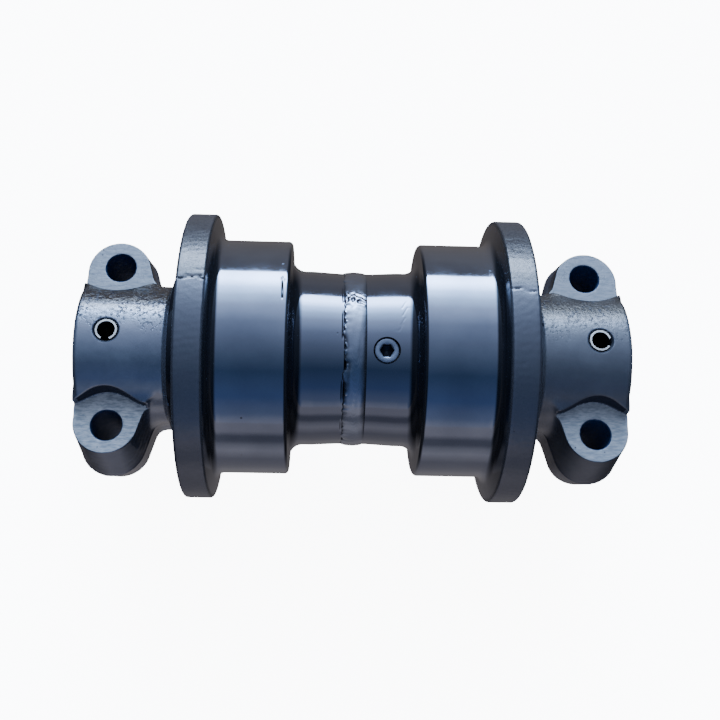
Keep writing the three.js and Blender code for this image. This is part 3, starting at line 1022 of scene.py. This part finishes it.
# ---- Stage, lights and camera ----
def stage():
    """A pale floor that curves up into a wall far away. It casts nothing into the paint."""
    bed = -FLANGE_R * MM
    levels = [(0.02, bed), (2.5, bed), (4.0, bed)]
    for k in range(1, 13):
        turn = math.radians(90 * k / 12)
        levels.append((4.0 + 2.0 * math.sin(turn), bed + 2.0 * (1 - math.cos(turn))))
    levels.append((6.0, bed + 9))
    points, faces = skin([circle(r / MM, z / MM, 96) for r, z in levels])
    faces.pop()
    material, _, shader = new_material("pale_floor")
    shader.inputs["Base Color"].default_value = (0.86, 0.87, 0.88, 1)
    shader.inputs["Roughness"].default_value = 0.8
    shader.inputs["Specular IOR Level"].default_value = 0.1
    shader.inputs["Emission Color"].default_value = (0.97, 0.98, 1, 1)
    shader.inputs["Emission Strength"].default_value = 10
    mesh = bpy.data.meshes.new("floor")
    mesh.from_pydata((points * MM).tolist(), [], faces)
    mesh.shade_smooth()
    mesh.materials.append(material)
    floor = bpy.data.objects.new("floor", mesh)
    bpy.context.scene.collection.objects.link(floor)
    floor.visible_glossy = False
    floor.visible_diffuse = False
    floor.visible_shadow = False


SKY = [
    # degrees over the top from the +Y horizon, and the light's red, green and blue there
    (180, (1.25, 1.15, 1.15)),
    (165, (0.5, 0.58, 0.78)),
    (148, (0.22, 0.33, 0.62)),
    (135, (0.18, 0.28, 0.5)),
    (123, (0.13, 0.22, 0.38)),
    (110, (0.33, 0.44, 0.6)),
    (92, (0.75, 0.85, 1.05)),
    (75, (1.3, 1.45, 1.75)),
    (58, (2.8, 3.2, 3.8)),
    (48, (5, 6.3, 7.5)),
    (39, (10, 13, 16)),
    (29, (27, 33, 40)),
    (15, (24, 29, 35)),
]
SKY_PEAK = 50
FAR_GROUND = [
    # the direction's height, -1 straight down to 0 level, and the light's red, green and blue
    (-0.95, (0.07, 0.065, 0.07)),
    (-0.1, (0.46, 0.41, 0.38)),
]
NEAR_GROUND = [
    (-0.9, (0.34, 0.32, 0.34)),
    (-0.72, (0.42, 0.39, 0.41)),
    (-0.52, (0.95, 0.85, 0.82)),
    (-0.4, (0.75, 0.68, 0.66)),
    (-0.31, (0.36, 0.34, 0.36)),
    (-0.2, (0.36, 0.34, 0.36)),
    (-0.1, (1.0, 0.88, 0.84)),
]
END_DIMMING = {"start": 0.2, "end": 0.55, "least": 0.06}


def sky_colour(colour):
    """A ramp or mix colour that the world's strength of SKY_PEAK brings back to its own size."""
    return tuple(channel / SKY_PEAK for channel in colour) + (1,)


def sky_ramp(tree, place_in, stops):
    """A colour ramp from [position, light] stops, lowest first."""
    ramp = tree.nodes.new("ShaderNodeValToRGB")
    elements = ramp.color_ramp.elements
    while len(elements) < len(stops):
        elements.new(0.5)
    for element, (position, colour) in zip(elements, stops):
        element.position = position
        element.color = sky_colour(colour)
    tree.links.new(place_in, ramp.inputs[0])
    return ramp.outputs["Color"]


def sky():
    """A soft sky over a dark ground, brightest low on the +Y side and dark blue towards -Y."""
    world = bpy.data.worlds.new("soft_sky")
    bpy.context.scene.world = world
    world.use_nodes = True
    tree = world.node_tree
    axes = split(tree, tree.nodes.new("ShaderNodeTexCoord").outputs["Generated"])
    ahead = remap(tree, axes["Y"], -1, 1, 0, 1)
    over_the_top = [((1 + math.cos(math.radians(angle))) / 2, colour) for angle, colour in SKY]
    rise = arithmetic(tree, "ADD", axes["Z"], 1.0)
    near = sky_ramp(tree, rise, [(1 + height, colour) for height, colour in NEAR_GROUND])
    far = sky_ramp(tree, rise, [(1 + height, colour) for height, colour in FAR_GROUND])
    ground = blend(tree, remap(tree, axes["Y"], -0.3, 0.3, 0, 1), near, far)
    horizon = arithmetic(tree, "ADD", arithmetic(tree, "MULTIPLY", axes["Y"], 0.13), 0.205)
    above = remap(tree, arithmetic(tree, "SUBTRACT", axes["Z"], horizon), -0.008, 0.008, 0, 1)
    background = tree.nodes["Background"]
    all_round = blend(tree, above, ground, sky_ramp(tree, ahead, over_the_top))
    tree.links.new(all_round, background.inputs["Color"])
    endways = arithmetic(tree, "ABSOLUTE", axes["X"], 0)
    least = SKY_PEAK * END_DIMMING["least"]
    dimming = remap(tree, endways, END_DIMMING["start"], END_DIMMING["end"], SKY_PEAK, least)
    tree.links.new(dimming, background.inputs["Strength"])


def overhead_fill():
    """A large soft light above, which the paint doesn't mirror."""
    light = bpy.data.lights.new("overhead_fill", "AREA")
    light.shape = "RECTANGLE"
    light.size = light.size_y = 3
    light.energy = 20
    lamp = bpy.data.objects.new("overhead_fill", light)
    bpy.context.scene.collection.objects.link(lamp)
    stand = Vector((0, -0.2, 2.2))
    aim = (-stand).to_track_quat("-Z", "Y").to_matrix().to_4x4()
    lamp.matrix_world = Matrix.Translation(stand) @ aim
    lamp.visible_glossy = False


def camera():
    """The viewpoint: high on the -Y side, nearly square to the shaft."""
    distance, tip, yaw, roll = 0.678, 19.5, 1.76, -1.23
    lens, shift_x, shift_y = 49.9, 0.0103, -0.0013
    data = bpy.data.cameras.new("camera")
    data.sensor_width = 36
    data.lens = lens
    data.shift_x = shift_x
    data.shift_y = shift_y
    data.clip_start = 0.02
    data.clip_end = 60
    made = bpy.data.objects.new("camera", data)
    bpy.context.scene.collection.objects.link(made)
    turn = (
        Matrix.Rotation(math.radians(tip), 4, "X")
        @ Matrix.Rotation(math.radians(-yaw), 4, "Y")
        @ Matrix.Rotation(math.radians(-roll), 4, "Z")
    )
    made.matrix_world = turn @ Matrix.Translation((0, 0, distance))
    bpy.context.scene.camera = made


stage()
sky()
overhead_fill()
camera()
